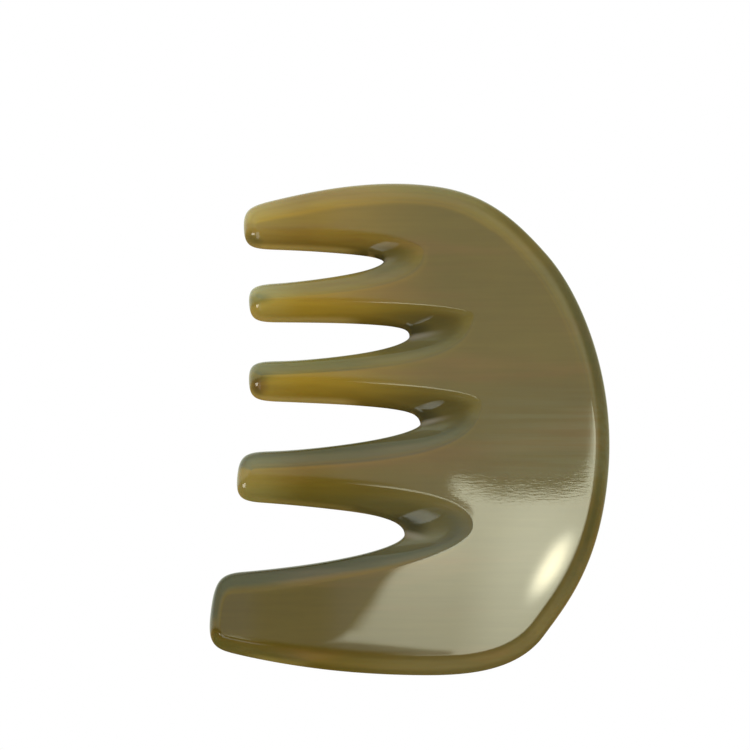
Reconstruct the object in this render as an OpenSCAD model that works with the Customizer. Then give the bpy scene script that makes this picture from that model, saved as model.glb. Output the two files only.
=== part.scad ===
// Scalp massage comb made of one plate of polished horn, lying flat on a table.
// X runs from the tips of the teeth to the round back, Y along the row of teeth and Z up from
// the table. The origin is under the middle of the comb's outline, on the table.
//
// The solid hangs between two closed curves: the outline, which lies in the middle plane of the
// plate, and the crest, which is the edge of the flat face. Each point of the outline has one
// point of the crest. Between the two the surface rises by one rule: a rounded lip, then a slope
// that meets the flat face in a crease. Toward the root of a gap the lip thins and the slope
// hollows, which carves a dish. Both faces are the same.

/* [Size] */
// Length of the comb along its row of teeth
comb_length = 101.2; // [92:0.1:110]
// Width from the longest tip to the back
comb_width = 79.8; // [73:0.1:87]
// Thickness of the body
body_thickness = 9; // [7.5:0.5:11]

/* [Edges] */
// Width of the sloping rim at the middle of the back
rim_width = 3; // [2.2:0.1:3.6]
// Half the thickness of the rounded lip round the back and the teeth
lip_height = 2.5; // [2:0.1:3.2]
// Width of the rounding of the lip
lip_width = 1.2; // [0.8:0.1:2]
// Softness of the creases that face the wide end tooth
crease_softness = 0.1; // [0.04:0.01:0.3]
// Softness of the creases that face the other way
far_softness = 0.34; // [0.04:0.01:0.5]
// Softness of the creases at the tips of the teeth
tip_softness = 0.6; // [0.3:0.05:0.8]
// Length of the rounded corners at the tips
corner_length = 5.4; // [4.6:0.1:6]
// Squareness of the tips, where 0.55 is an ellipse and 1 a sharp corner
squareness = 0.82; // [0.6:0.01:0.9]
// How much lower each face lies at the tips than on the body
tip_sink = 1; // [0:0.1:1.5]

/* [Dishes] */
// Half the thickness of the lip at the roots of the gaps
root_lip = 1.6; // [0.8:0.1:1.9]
// Hollowness of a dish, where 1 is a straight slope
hollowness = 1.5; // [1:0.05:2]

/* [Fineness] */
// Rings of facets between the outline and the crest, on each face
rings = 7; // [5:1:9]

/* [Hidden] */
horn_colour = [0.47, 0.43, 0.27];

// Columns of the tables of places: where a curve passes, the way it heads there in degrees, and
// the lengths of its two handles. All curves run counter-clockwise, seen from above.
X = 0;
Y = 1;
HEADING = 2;
BEHIND = 3;
AHEAD = 4;

// Columns of the tables of teeth: the middle of the tip, half the width across it, how far the
// tip leans from straight, and for both sides of the tooth the heading and the handle's length
HALF_WIDTH = 2;
LEAN = 3;
UPPER_HEADING = 4;
UPPER_REACH = 5;
LOWER_HEADING = 6;
LOWER_REACH = 7;

// The round back, from the bottom to the top: x, y, heading, handle behind, handle ahead
back_places = [
    [3.8, -50.5, 0, 12.7, 9.6],
    [27, -42.4, 54, 8.3, 8.3],
    [40, -8.5, 85.5, 18.9, 18.9],
    [28, 35.6, 130, 10.6, 10.6],
    [6, 49.9, 171, 9.4, 11.3]
];

// Width of the rim at each of these places, as a share of rim_width
rim_shares = [0.93, 0.97, 1, 1.53, 1.47];

// The teeth in the outline, from the top: x, y, half width, lean, upper side, lower side
teeth = [
    [-33.2, 41.5, 4.1, 2, 194, 11.3, -2, 17],
    [-32.1, 25.8, 3.7, 4, 184, 14.5, 0, 24],
    [-32.1, 9.8, 3.9, 2, 181, 18, -2, 26],
    [-34.4, -9.9, 4.9, -5, 182, 20, -4, 17],
    [-39.6, -37.4, 7.4, -7, 185, 23, -14, 12.7]
];

// The roots of the gaps in the outline: x, y, heading, handle behind, handle ahead
roots = [
    [-5.1, 34.5, -90, 1.6, 1.7],
    [0.1, 19, -90, 2.3, 1.7],
    [2.3, 1, -78, 3, 1.6],
    [-0.9, -21.7, -85, 4.2, 2.3]
];

// Thickness of the lip at each of these roots, as a share of root_lip
root_lip_shares = [1.75, 1, 1, 0.9];

// The flat tops of the same teeth, with the same columns
tops = [
    [-30.6, 41.2, 1.2, 2, 191, 10, 0, 20],
    [-29.6, 25.8, 0.3, 4, 182, 24, 1, 24],
    [-29.6, 9.9, 0.4, 2, 181, 28, -1, 26],
    [-31.6, -9.8, 0.9, -5, 181, 30, -3, 26],
    [-37.4, -39.2, 3.9, -7, 184, 24, -12, 12]
];
top_corner_length = 2;

// The far ends of the dishes, where each crease turns back: the same columns as the roots
dish_ends = [
    [3.2, 35.5, -90, 2.5, 5],
    [13.3, 22.2, -100, 2, 8.5],
    [14.8, 4.2, -96, 2.5, 9.5],
    [12.8, -21.2, -92, 7, 5.5]
];

// Points along a stretch of the back, a plain side, half a tip and a side that ends at a root
BACK_POINTS = 9;
SIDE_POINTS = 8;
TIP_POINTS = 5;
FLANK_POINTS = 13;

// Pairs of points on a tooth's two sides, counted from its tip to just short of a dish's end
TOP_PAIRS = TIP_POINTS + FLANK_POINTS - 1;

// A place on the flat face that sees the whole of it between the dishes and the back
face_middle = [28, 8];

// Where the faces begin to sink toward the tips, and how far on they have sunk in full
sink_start = -12;
sink_length = 22;

// Shares of a flank, from tip to root, at which it begins to hollow and is a full dish
carve_start = 0.2;
carve_end = 0.9;

function heading(angle) = [cos(angle), sin(angle)];

function place(row) = [row[X], row[Y]];

function smooth_step(u) = let (v = min(max(u, 0), 1)) v * v * (3 - 2 * v);

// One place of a curve, as a row of the table of places
function row_at(point, angle, behind, ahead) = [point[0], point[1], angle, behind, ahead];

// A tooth's three places: the upper end of its rounded tip, the tip and the lower end
function tooth_rows(tooth, corner) =
    let (
        tip = place(tooth),
        down = heading(270 + tooth[LEAN]),
        half = tooth[HALF_WIDTH],
        upper = tip - half * down - corner * heading(tooth[UPPER_HEADING]),
        lower = tip + half * down + corner * heading(tooth[LOWER_HEADING]),
        bend = squareness * corner
    )
    [
        row_at(upper, tooth[UPPER_HEADING], tooth[UPPER_REACH], bend),
        row_at(tip, 270 + tooth[LEAN], squareness * half, squareness * half),
        row_at(lower, tooth[LOWER_HEADING], bend, tooth[LOWER_REACH])
    ];

// All places of a closed curve: the back, then tooth, root, tooth and so on
function loop_rows(back, tooth_table, root_table, corner) = [
    each back,
    for (i = [0:len(tooth_table) - 1]) each [
        each tooth_rows(tooth_table[i], corner),
        if (i < len(root_table)) root_table[i]
    ]
];

// The back's places moved inward by the width of the rim, with handles to suit the new lengths
function inset_back(back, widths) =
    let (
        moved = [
            for (i = [0:len(back) - 1])
                place(back[i]) + widths[i] * heading(back[i][HEADING] + 90)
        ],
        shrink = [
            for (i = [0:len(back) - 2])
                norm(moved[i + 1] - moved[i]) / norm(place(back[i + 1]) - place(back[i]))
        ],
        last = len(back) - 1
    )
    [
        for (i = [0:last])
            row_at(
                moved[i], back[i][HEADING],
                back[i][BEHIND] * (i > 0 ? shrink[i - 1] : 1),
                back[i][AHEAD] * (i < last ? shrink[i] : 1)
            )
    ];

// Point of the cubic curve between two places, at share t of the way
function between(a, b, t) =
    let (
        start = place(a),
        finish = place(b),
        start_handle = start + a[AHEAD] * heading(a[HEADING]),
        finish_handle = finish - b[BEHIND] * heading(b[HEADING]),
        u = 1 - t
    )
    u * u * u * start + 3 * u * u * t * start_handle
        + 3 * u * t * t * finish_handle + t * t * t * finish;

// Points in each stretch of a closed curve, in the order of its places
stretch_points = [
    for (i = [1:len(back_places) - 1]) BACK_POINTS,
    SIDE_POINTS,
    for (i = [0:len(teeth) - 1]) each [
        TIP_POINTS,
        TIP_POINTS,
        each (i < len(roots) ? [FLANK_POINTS, FLANK_POINTS] : [SIDE_POINTS])
    ]
];

// How far each stretch is carved into a dish: 1 toward its end, -1 toward its start, 0 not at all
stretch_carving = [
    for (i = [0:len(back_places) - 1]) 0,
    for (i = [0:len(teeth) - 1]) each [
        0,
        0,
        each (i < len(roots) ? [1, -1] : [0])
    ]
];

// Half the thickness of the lip at the root that each stretch runs to or from
stretch_lips = [
    for (i = [0:len(back_places) - 1]) lip_height,
    for (i = [0:len(teeth) - 1])
        let (lip = i < len(roots) ? root_lip * root_lip_shares[i] : lip_height)
        each [
            lip_height,
            lip_height,
            each (i < len(roots) ? [lip, lip] : [lip])
        ]
];

function curve_points(rows) = [
    for (i = [0:len(rows) - 1], j = [0:stretch_points[i] - 1])
        between(rows[i], rows[(i + 1) % len(rows)], j / stretch_points[i])
];

carving = [
    for (i = [0:len(stretch_points) - 1], j = [0:stretch_points[i] - 1])
        let (
            share = j / stretch_points[i],
            toward = stretch_carving[i] > 0 ? share : 1 - share
        )
        stretch_carving[i] == 0 ? 0
            : smooth_step((toward - carve_start) / (carve_end - carve_start))
];
root_lips = [
    for (i = [0:len(stretch_points) - 1], j = [0:stretch_points[i] - 1]) stretch_lips[i]
];

outline = curve_points(loop_rows(back_places, teeth, roots, corner_length));
crest = curve_points(
    loop_rows(
        inset_back(back_places, rim_width * rim_shares), tops, dish_ends, top_corner_length
    )
);
around = len(outline);

// The drawn outline's box, which is stretched to the comb's length and width
low = [min([for (p = outline) p[0]]), min([for (p = outline) p[1]])];
high = [max([for (p = outline) p[0]]), max([for (p = outline) p[1]])];
centre = (low + high) / 2;
stretch = [comb_width / (high[0] - low[0]), comb_length / (high[1] - low[1])];

half_thickness = body_thickness / 2;

// Half the thickness of the face above a drawn x
function face_height(x) =
    half_thickness - tip_sink * smooth_step((sink_start - x) / sink_length);

// Rise of a quarter ellipse at share s of its width
function round_rise(s) = sqrt(1 - (1 - s) * (1 - s));

// The smaller of two heights, with the corner between them rounded off
function soft_min(a, b, softness) =
    let (near = max(softness - abs(a - b), 0) / softness)
    min(a, b) - near * near * softness / 4;

// Rise at share s of the way inward from the outline to the crest, where both are i along: a
// rounded lip, then a slope that meets the flat face in a crease
function rise(s, inward, i) =
    let (
        width = norm(inward),
        lip = (lip_height + (root_lips[i] - lip_height) * carving[i]) / half_thickness,
        far = smooth_step(-inward[Y] / width),
        tip = smooth_step(inward[X] / width) * (1 - carving[i]),
        side_softness = crease_softness + (far_softness - crease_softness) * far,
        soft = side_softness + (tip_softness - side_softness) * tip,
        edge = round_rise(min(s * width / lip_width, 1)),
        slope = (1 + soft - lip) * pow(s, 1 + (hollowness - 1) * carving[i])
    )
    soft_min(lip * edge + slope, 1, soft);

// Shares of the way from outline to crest at which the rings lie, closest at both ends
ring_shares = [for (j = [0:rings]) (1 - cos(180 * j / rings)) / 2];

// A drawn place at a height over the middle plane, stretched to the comb's size
function stretched(drawn, height) = [
    (drawn[X] - centre[X]) * stretch[X],
    (drawn[Y] - centre[Y]) * stretch[Y],
    half_thickness + height
];

// One ring of points on the face that side names, 1 for the upper and -1 for the lower
function ring(j, side) = [
    for (i = [0:around - 1])
        let (
            inward = crest[i] - outline[i],
            s = ring_shares[j],
            drawn = outline[i] + s * inward,
            up = face_height(drawn[X]) * rise(s, inward, i)
        )
        stretched(drawn, side * up)
];

// All points: the outline, the upper rings, the lower rings and the middles of the two faces
points = [
    each ring(0, 1),
    for (side = [1, -1], j = [1:rings]) each ring(j, side),
    for (side = [1, -1]) stretched(face_middle, side * half_thickness)
];

// Number of the point at place i of ring j, where ring 0 is the outline for both faces
function at(i, j, side) =
    let (k = (i + around) % around)
    j == 0 ? k : k + around * (side > 0 ? j : rings + j);

// Number of the point in the middle of a face
function middle(side) = around * (2 * rings + 1) + (side > 0 ? 0 : 1);

// Place along the curves of each tooth's tip, which follows the back's stretches and one side
function points_before(stretches) =
    stretches == 0 ? 0 : stretch_points[stretches - 1] + points_before(stretches - 1);
tips = [for (i = [0:len(teeth) - 1]) points_before(len(back_places) + 4 * i + 1)];

// A triangle given for the upper face, turned round for the lower one
function facing(side, a, b, c) = side > 0 ? [a, b, c] : [a, c, b];

// The band of triangles between the outline and the crest
band = [
    for (side = [1, -1], i = [0:around - 1], j = [0:rings - 1]) each [
        facing(side, at(i, j, side), at(i, j + 1, side), at(i + 1, j + 1, side)),
        facing(side, at(i, j, side), at(i + 1, j + 1, side), at(i + 1, j, side))
    ]
];

// The flat tops of the teeth, between the pairs of points on their two sides
tooth_tops = [
    for (side = [1, -1], tip = tips, k = [0:TOP_PAIRS - 1])
        let (
            upper = at(tip - k, rings, side),
            lower = at(tip + k, rings, side),
            next_upper = at(tip - k - 1, rings, side),
            next_lower = at(tip + k + 1, rings, side)
        )
        each [
            if (k > 0) facing(side, upper, next_lower, lower),
            facing(side, upper, next_upper, next_lower)
        ]
];

// The rest of the flat face: past the ends of the dishes, then along the back, round its middle
face_edge = [
    for (i = [0:len(tips) - 1])
        let (next_tip = i < len(tips) - 1 ? tips[i + 1] : around + tips[0])
        for (k = [tips[i] + TOP_PAIRS:next_tip - TOP_PAIRS]) k
];
face_fan = [
    for (side = [1, -1], k = [0:len(face_edge) - 1])
        let (from = face_edge[k], to = face_edge[(k + 1) % len(face_edge)])
        facing(side, middle(side), at(to, rings, side), at(from, rings, side))
];

module comb() {
    color(horn_colour)
        polyhedron(
            points = points,
            faces = [each band, each tooth_tops, each face_fan],
            convexity = 10
        );
}

comb();
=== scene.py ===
"""The looks of a scalp massage comb: one plate of polished, slightly translucent horn.

The comb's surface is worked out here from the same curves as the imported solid, only finer, and
it takes that solid's place. All places in the tables are in millimetres on the drawing, whose
X runs from the tips of the teeth to the round back and Y along the row of teeth.
"""

import math
from types import SimpleNamespace

import bpy
import numpy as np
from bpy.props import FloatProperty, FloatVectorProperty, PointerProperty
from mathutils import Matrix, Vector


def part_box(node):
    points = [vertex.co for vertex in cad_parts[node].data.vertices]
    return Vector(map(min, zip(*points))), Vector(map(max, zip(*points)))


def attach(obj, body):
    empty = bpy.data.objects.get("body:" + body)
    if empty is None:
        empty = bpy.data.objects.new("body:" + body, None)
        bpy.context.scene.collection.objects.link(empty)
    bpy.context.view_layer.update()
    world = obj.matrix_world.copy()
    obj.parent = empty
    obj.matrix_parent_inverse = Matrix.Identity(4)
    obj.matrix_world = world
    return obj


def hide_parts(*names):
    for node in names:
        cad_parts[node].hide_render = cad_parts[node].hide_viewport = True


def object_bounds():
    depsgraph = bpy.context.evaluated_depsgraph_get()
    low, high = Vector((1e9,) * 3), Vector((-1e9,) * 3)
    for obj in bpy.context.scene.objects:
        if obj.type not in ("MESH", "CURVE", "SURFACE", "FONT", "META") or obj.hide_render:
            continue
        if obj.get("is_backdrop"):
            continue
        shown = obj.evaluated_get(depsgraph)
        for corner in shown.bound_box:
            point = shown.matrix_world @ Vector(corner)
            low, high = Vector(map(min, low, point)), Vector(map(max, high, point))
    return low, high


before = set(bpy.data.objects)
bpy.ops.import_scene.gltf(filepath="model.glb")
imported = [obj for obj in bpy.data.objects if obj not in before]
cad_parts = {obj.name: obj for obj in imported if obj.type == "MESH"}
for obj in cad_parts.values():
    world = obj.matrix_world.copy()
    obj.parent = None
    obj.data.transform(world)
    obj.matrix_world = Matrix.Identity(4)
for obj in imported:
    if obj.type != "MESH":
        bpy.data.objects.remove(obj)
cad_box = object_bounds()
comb_low, comb_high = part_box("comb")
comb_size = comb_high - comb_low

bl_info = {
    "name": "Scalp massage comb",
    "version": (1, 0, 0),
    "blender": (4, 5, 0),
    "location": "View3D > Sidebar > Comb",
    "description": "Makes a polished horn comb for massaging the scalp, and a plain studio for it",
    "category": "Add Mesh",
}

MM = 0.001
MICROMETRE = 0.000001
MM_PER_CM = 10
WHITE = (1, 1, 1, 1)

# Columns of the tables of places: where a curve passes, the way it heads there in degrees, and
# the lengths of its two handles. All curves run counter-clockwise, seen from above.
X, Y, HEADING, BEHIND, AHEAD = range(5)

# Columns of the tables of teeth after x and y: half the width across the tip, how far the tip
# leans from straight, and for both sides of the tooth the heading and the handle's length
HALF_WIDTH, LEAN, UPPER_HEADING, UPPER_REACH, LOWER_HEADING, LOWER_REACH = range(2, 8)

# The round back, from the bottom to the top: x, y, heading, handle behind, handle ahead
BACK_PLACES = [
    [3.8, -50.5, 0, 12.7, 9.6],
    [27, -42.4, 54, 8.3, 8.3],
    [40, -8.5, 85.5, 18.9, 18.9],
    [28, 35.6, 130, 10.6, 10.6],
    [6, 49.9, 171, 9.4, 11.3],
]

# Width of the rim at each of these places, as a share of the rim's width in the list of sizes
RIM_SHARES = (0.93, 0.97, 1, 1.53, 1.47)

# The teeth in the outline, from the top: x, y, half width, lean, upper side, lower side
TEETH = [
    [-33.2, 41.5, 4.1, 2, 194, 11.3, -2, 17],
    [-32.1, 25.8, 3.7, 4, 184, 14.5, 0, 24],
    [-32.1, 9.8, 3.9, 2, 181, 18, -2, 26],
    [-34.4, -9.9, 4.9, -5, 182, 20, -4, 17],
    [-39.6, -37.4, 7.4, -7, 185, 23, -14, 12.7],
]

# The roots of the gaps in the outline: x, y, heading, handle behind, handle ahead
ROOTS = [
    [-5.1, 34.5, -90, 1.6, 1.7],
    [0.1, 19, -90, 2.3, 1.7],
    [2.3, 1, -78, 3, 1.6],
    [-0.9, -21.7, -85, 4.2, 2.3],
]

# Thickness of the lip at each of these roots, as a share of the one in the list of sizes
ROOT_LIP_SHARES = (1.75, 1, 1, 0.9)

# The flat tops of the same teeth, with the same columns
TOPS = [
    [-30.6, 41.2, 1.2, 2, 191, 10, 0, 20],
    [-29.6, 25.8, 0.3, 4, 182, 24, 1, 24],
    [-29.6, 9.9, 0.4, 2, 181, 28, -1, 26],
    [-31.6, -9.8, 0.9, -5, 181, 30, -3, 26],
    [-37.4, -39.2, 3.9, -7, 184, 24, -12, 12],
]
TOP_CORNER_LENGTH = 2

# The far ends of the dishes, where each crease turns back: the same columns as the roots
DISH_ENDS = [
    [3.2, 35.5, -90, 2.5, 5],
    [13.3, 22.2, -100, 2, 8.5],
    [14.8, 4.2, -96, 2.5, 9.5],
    [12.8, -21.2, -92, 7, 5.5],
]

# Points along a stretch of the back, a plain side, half a tip and a side that ends at a root,
# and rings of points between the outline and the crest
BACK_POINTS = 48
SIDE_POINTS = 40
TIP_POINTS = 24
FLANK_POINTS = 72
RINGS = 24

# Pairs of points on a tooth's two sides, counted from its tip to just short of a dish's end,
# and the steps between the two points of a pair
TOP_PAIRS = TIP_POINTS + FLANK_POINTS - 4
TOP_STEPS = 8

# A place that sees the whole flat face between the dishes and the back, and the shares of the
# way from it to the face's edge at which rings of points lie
FACE_MIDDLE = (28.0, 8.0)
FACE_SHARES = (0.985, 0.95, 0.88, 0.76, 0.6, 0.42, 0.22)

# Where the faces begin to sink toward the tips, and how far on they have sunk in full
SINK_START = -12
SINK_LENGTH = 22

# Shares of a flank, from tip to root, at which it begins to hollow and is a full dish
CARVE_START = 0.2
CARVE_END = 0.9

# The camera: the photograph's frame in pixels, its scale, the drawn place at its middle, the
# height it looks from in degrees, its distance, and its sensor's width in millimetres
FRAME_PIXELS = 750
PIXELS_PER_MM = 5.0
AIM = (-6.8, 11.08)
CAMERA_ELEVATION = 75.0
CAMERA_DISTANCE = 3.0
SENSOR_WIDTH = 36

# Half the side of the square floor in metres, and its colour where the comb lights it
FLOOR_HALF_SIZE = 6
FLOOR_GREY = (0.8, 0.8, 0.8, 1)

# How far above the floor the softbox is, and its outline as the flat face mirrors it to the
# camera: drawn x and y, and how far inward in x and y its light is full
SOFTBOX_HEIGHT = 0.35
SOFTBOX_OUTLINE = [
    (11, -18, 2.5, -1),
    (8.4, -15, 2.5, -1.5),
    (6.6, -12, 2.5, -2.5),
    (10.2, -10.2, 0, -3),
    (13.5, -11.4, 0, -3.5),
    (18, -13, 0, -3.5),
    (30, -12.8, 0, -3.5),
    (34.8, -10.8, 1, -3),
    (35.9, -5, 1.2, -1),
    (36.5, 5, 1.2, -2),
    (50, 9, -2, -4),
    (160, 12, -10, -4),
    (160, -180, -10, 10),
    (22, -180, 6, 10),
    (6, -82, 6, 4),
    (-62, -82, 26, 4),
    (-62, -50, 26, -0.8),
    (8, -49.2, 1, -0.6),
    (8, -48.2, 1, 0.3),
    (-1.8, -46.7, 1, 0.5),
    (-11.8, -45.5, 2, 0.5),
    (-62, -45.1, 44, 0.4),
    (-42, -44.2, 26, 0),
    (-27, -43.1, 12, -0.7),
    (-12.6, -41.4, 3.5, -1.5),
    (-8.6, -36.8, 2.5, -1),
    (-6, -32.5, 2, -1),
    (-4, -29, 2, -1),
    (0, -25, 2, -1),
]

# The softbox's bright spot and the soft halo beside it: the middle of each, and its oval's half
# length, half width and turn
SPOT_MIDDLE = (28.3, -29.6)
SPOT_OVAL = (7.4, 2.1, 59)
HALO_MIDDLE = (22.8, -34.4)
HALO_OVAL = (20, 8.8, 74)

# Polished streaks in the dishes, which are otherwise dull: drawn x and y, half length, half
# width and turn
STREAKS = [
    (-5.1, 36.7, 3.0, 0.75, 9),
    (1.9, 21.6, 2.8, 0.45, 15),
    (3.7, 3.9, 3.2, 0.65, 13),
    (2.0, -18.9, 4.5, 1.35, 11),
]

# Painted highlights: pale gleams at the roots of the gaps, in the same form
PAINTED_GLEAMS = [
    (-4.2, 34.1, 4.0, 0.5, 12),
    (1.6, 18.5, 4.4, 0.55, 8),
    (3.6, 0.8, 3.6, 0.5, 12),
    (-0.4, -22.2, 3.2, 0.7, -14),
]

# Greyer horn in the tips of the first three teeth, in the same form
BLUNT_TIPS = [
    (-31.3, 37.9, 2.4, 1.1, -30),
    (-30.8, 25.9, 2.8, 1.0, 0),
    (-30.8, 9.7, 3.0, 1.0, 0),
    (-30.9, 6.5, 2.2, 1.1, -50),
]

# The reddish stain: drawn x and y, and its height in metres
STAIN = (-30.7, 7.8)
STAIN_HEIGHT = 0.008

# The horn's refraction, how far green and blue light wander in it as shares of how far red
# does, the level at which the shader mirrors in full, and how rough the grain's noise is
HORN_IOR = 1.54
WANDER_SHARES = (1.0, 0.5, 0.15)
FULL_POLISH = 0.5
GRAIN_ROUGHNESS = 0.55

# Cards of light in the sky above the comb, each by its corners' angles from straight up in
# degrees, the part toward X and then the part toward Y, and by the share of its width over
# which its light is full
SKY_DISTANCE = 0.6
SIDE_PANEL = [
    (-5, -80),
    (-20, -80),
    (-28, -54),
    (-32, -20),
    (-28, 0),
    (-14, 3),
    (-12, -30),
    (-5, -38),
]
SIDE_FULL = 0.75
TIP_LAMP = [(-36, -10), (-38, -27), (-60, -24), (-60, -6)]
LAMP_FULL = 0.85


def length_property(name, description, default, low, high):
    return FloatProperty(
        name=name,
        description=description,
        default=default,
        min=low,
        max=high,
        precision=4,
        unit="LENGTH",
        subtype="DISTANCE",
    )


def share_property(name, description, default, low=0, high=1):
    return FloatProperty(
        name=name, description=description, default=default, min=low, max=high, subtype="FACTOR"
    )


def amount_property(name, description, default, low=0, high=100):
    return FloatProperty(name=name, description=description, default=default, min=low, max=high)


def colour_property(name, description, default):
    return FloatVectorProperty(
        name=name, description=description, default=default, min=0, max=4, subtype="COLOR"
    )


def tint_property(place, default):
    return colour_property("Tint " + place, "Share of the colour that shows " + place, default)


def sky_property(name, place, default):
    return colour_property(name, "What the comb mirrors " + place, default)


class CombShape(bpy.types.PropertyGroup):
    """Sizes of the comb."""

    length: length_property("Length", "Length along the row of teeth", comb_size.y, 0.05, 0.2)
    width: length_property("Width", "From the longest tip to the back", comb_size.x, 0.04, 0.16)
    thickness: length_property("Thickness", "Thickness of the body", comb_size.z, 0.004, 0.02)
    rim_width: length_property(
        "Rim width", "Width of the sloping rim at the middle of the back", 0.003, 0.001, 0.005
    )
    corner_length: length_property(
        "Corner length", "Length of the rounded corners at the tips", 0.0054, 0.003, 0.008
    )
    squareness: share_property(
        "Squareness of the tips", "0.55 gives elliptical tips and 1 gives square ones", 0.82, 0.55
    )
    tip_sink: length_property(
        "Tip sink", "How much lower each face lies at the tips than on the body", 0.001, 0, 0.002
    )
    lip_height: length_property(
        "Lip height", "Half the thickness of the lip round back and teeth", 0.0025, 0.001, 0.004
    )
    root_lip: length_property(
        "Root lip", "Half the thickness of the lip at the roots of the gaps", 0.0016, 0.0004, 0.003
    )
    lip_width: length_property("Lip width", "Width of both lips' rounding", 0.0012, 0.0005, 0.003)
    hollowness: amount_property("Hollowness", "Of a dish, where 1 is a straight slope", 1.5, 1, 3)
    crease_softness: share_property(
        "Crease softness", "Softness of the creases that face the wide end tooth", 0.1, 0.02, 0.5
    )
    far_softness: share_property(
        "Far creases", "Softness of the creases that face the other way", 0.34, 0.02, 0.6
    )
    tip_softness: share_property(
        "Softness of the tips", "Softness of the tips' creases, where 1 is a dome", 0.6, 0.02
    )


class HornFinish(bpy.types.PropertyGroup):
    """Colours and polish of the horn, with tints that paint light, shade and reflections into its
    colour.
    """

    body_near: colour_property("Near body", "Body at the wide end tooth", (0.13, 0.1, 0.028))
    body_far: colour_property("Far body", "Body at the other end", (0.155, 0.115, 0.022))
    # The teeth's colours are partly the horn's own and partly painted light shining through the
    # thin teeth
    teeth_near: colour_property("Widest tooth", "The widest tooth", (0.106, 0.075, 0.01))
    teeth_middle: colour_property("Middle teeth", "Second and third teeth", (0.33, 0.215, 0.024))
    teeth_far: colour_property("First tooth", "The tooth at the far end", (0.25, 0.165, 0.024))
    haze: colour_property("Haze", "Pale lines on the body", (0.17, 0.156, 0.062))
    # Partly the horn's own colour and partly painted light shining through the thin tips
    tips: colour_property("Tips", "The tips of the narrow teeth", (0.42, 0.34, 0.09))
    warm: colour_property("Clouds", "Warm clouds that drift through the horn", (0.2, 0.11, 0.03))
    stain: colour_property("Stain", "The spot in the third tooth's tip", (0.12, 0.05, 0.022))
    # Painted shade in the dishes, and on their +Y side painted shade with a painted grey
    # reflection
    dish: colour_property("Dishes", "The dishes at the roots", (0.1, 0.08, 0.024))
    far_dish_shade_and_reflection: colour_property("Far dishes", "The dishes where they face +Y", (0.172, 0.156, 0.073))
    # Painted shade along the dishes' deepest line
    painted_valley_shade: colour_property("Valleys", "The dishes' deepest line", (0.035, 0.032, 0.014))
    # Painted highlights at the roots of the gaps
    painted_gleam: colour_property("Gleams", "Gleams at the roots of the gaps", (0.25, 0.22, 0.15))
    # Painted glow of light shining through the thin edges
    edge: colour_property("Edges", "Thin edges that light shines through", (0.39, 0.27, 0.07))
    # Painted reflection: flanks that face +Y tinted grey and cool
    painted_far_reflection_tint: tint_property("on flanks that face +Y", (0.54, 0.72, 1.6))
    shade_tint: tint_property("on the third and fourth teeth's far flanks", (0.74, 0.76, 0.84))
    # Painted shade on flanks that face -Y
    painted_near_shade_tint: tint_property("on flanks that face the wide end tooth", (0.8, 0.78, 0.72))
    # Painted light on the two widest teeth's near flanks
    painted_low_tooth_light_tint: tint_property("on the two widest teeth's near flanks", (1.05, 1.25, 1.8))
    # Painted reflection low on the far flanks
    painted_pale_reflection_tint: tint_property("low on the first three teeth's far flanks", (1.75, 1.8, 1.95))
    # Painted glow of light along crests that face +Y
    painted_crest_glow_tint: tint_property("along crests that face +Y", (1.6, 1.5, 1.05))
    blunt_tint: tint_property("in the first three teeth's tips", (0.6, 0.68, 0.78))
    # Painted light on the back's rim where it faces -Y
    painted_low_rim_tint: tint_property("on the back's rim at the wide end tooth", (1.35, 1.38, 1.65))
    # Painted shade on the outer rim of the back
    painted_side_rim_shade_tint: tint_property("on the outer rim of the back", (0.74, 0.82, 0.86))
    # Painted reflection where the dishes run out on the body
    painted_end_reflection_tint: tint_property("where the dishes run out on the body", (1.2, 1.27, 1.7))
    roughness: share_property("Roughness", "Roughness of the polish", 0.03)
    glow: share_property("Translucency", "Share of the light that wanders inside the horn", 0.35)
    glow_depth: length_property(
        "Depth of translucency", "How far red light wanders inside the horn", 0.004, 0.0001, 0.02
    )
    hairline_depth: amount_property("Hairline depth", "Fine polishing lines, in micrometres", 2.4)
    wave_depth: amount_property("Wave depth", "Slow waves in the polish, in micrometres", 12)


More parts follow.
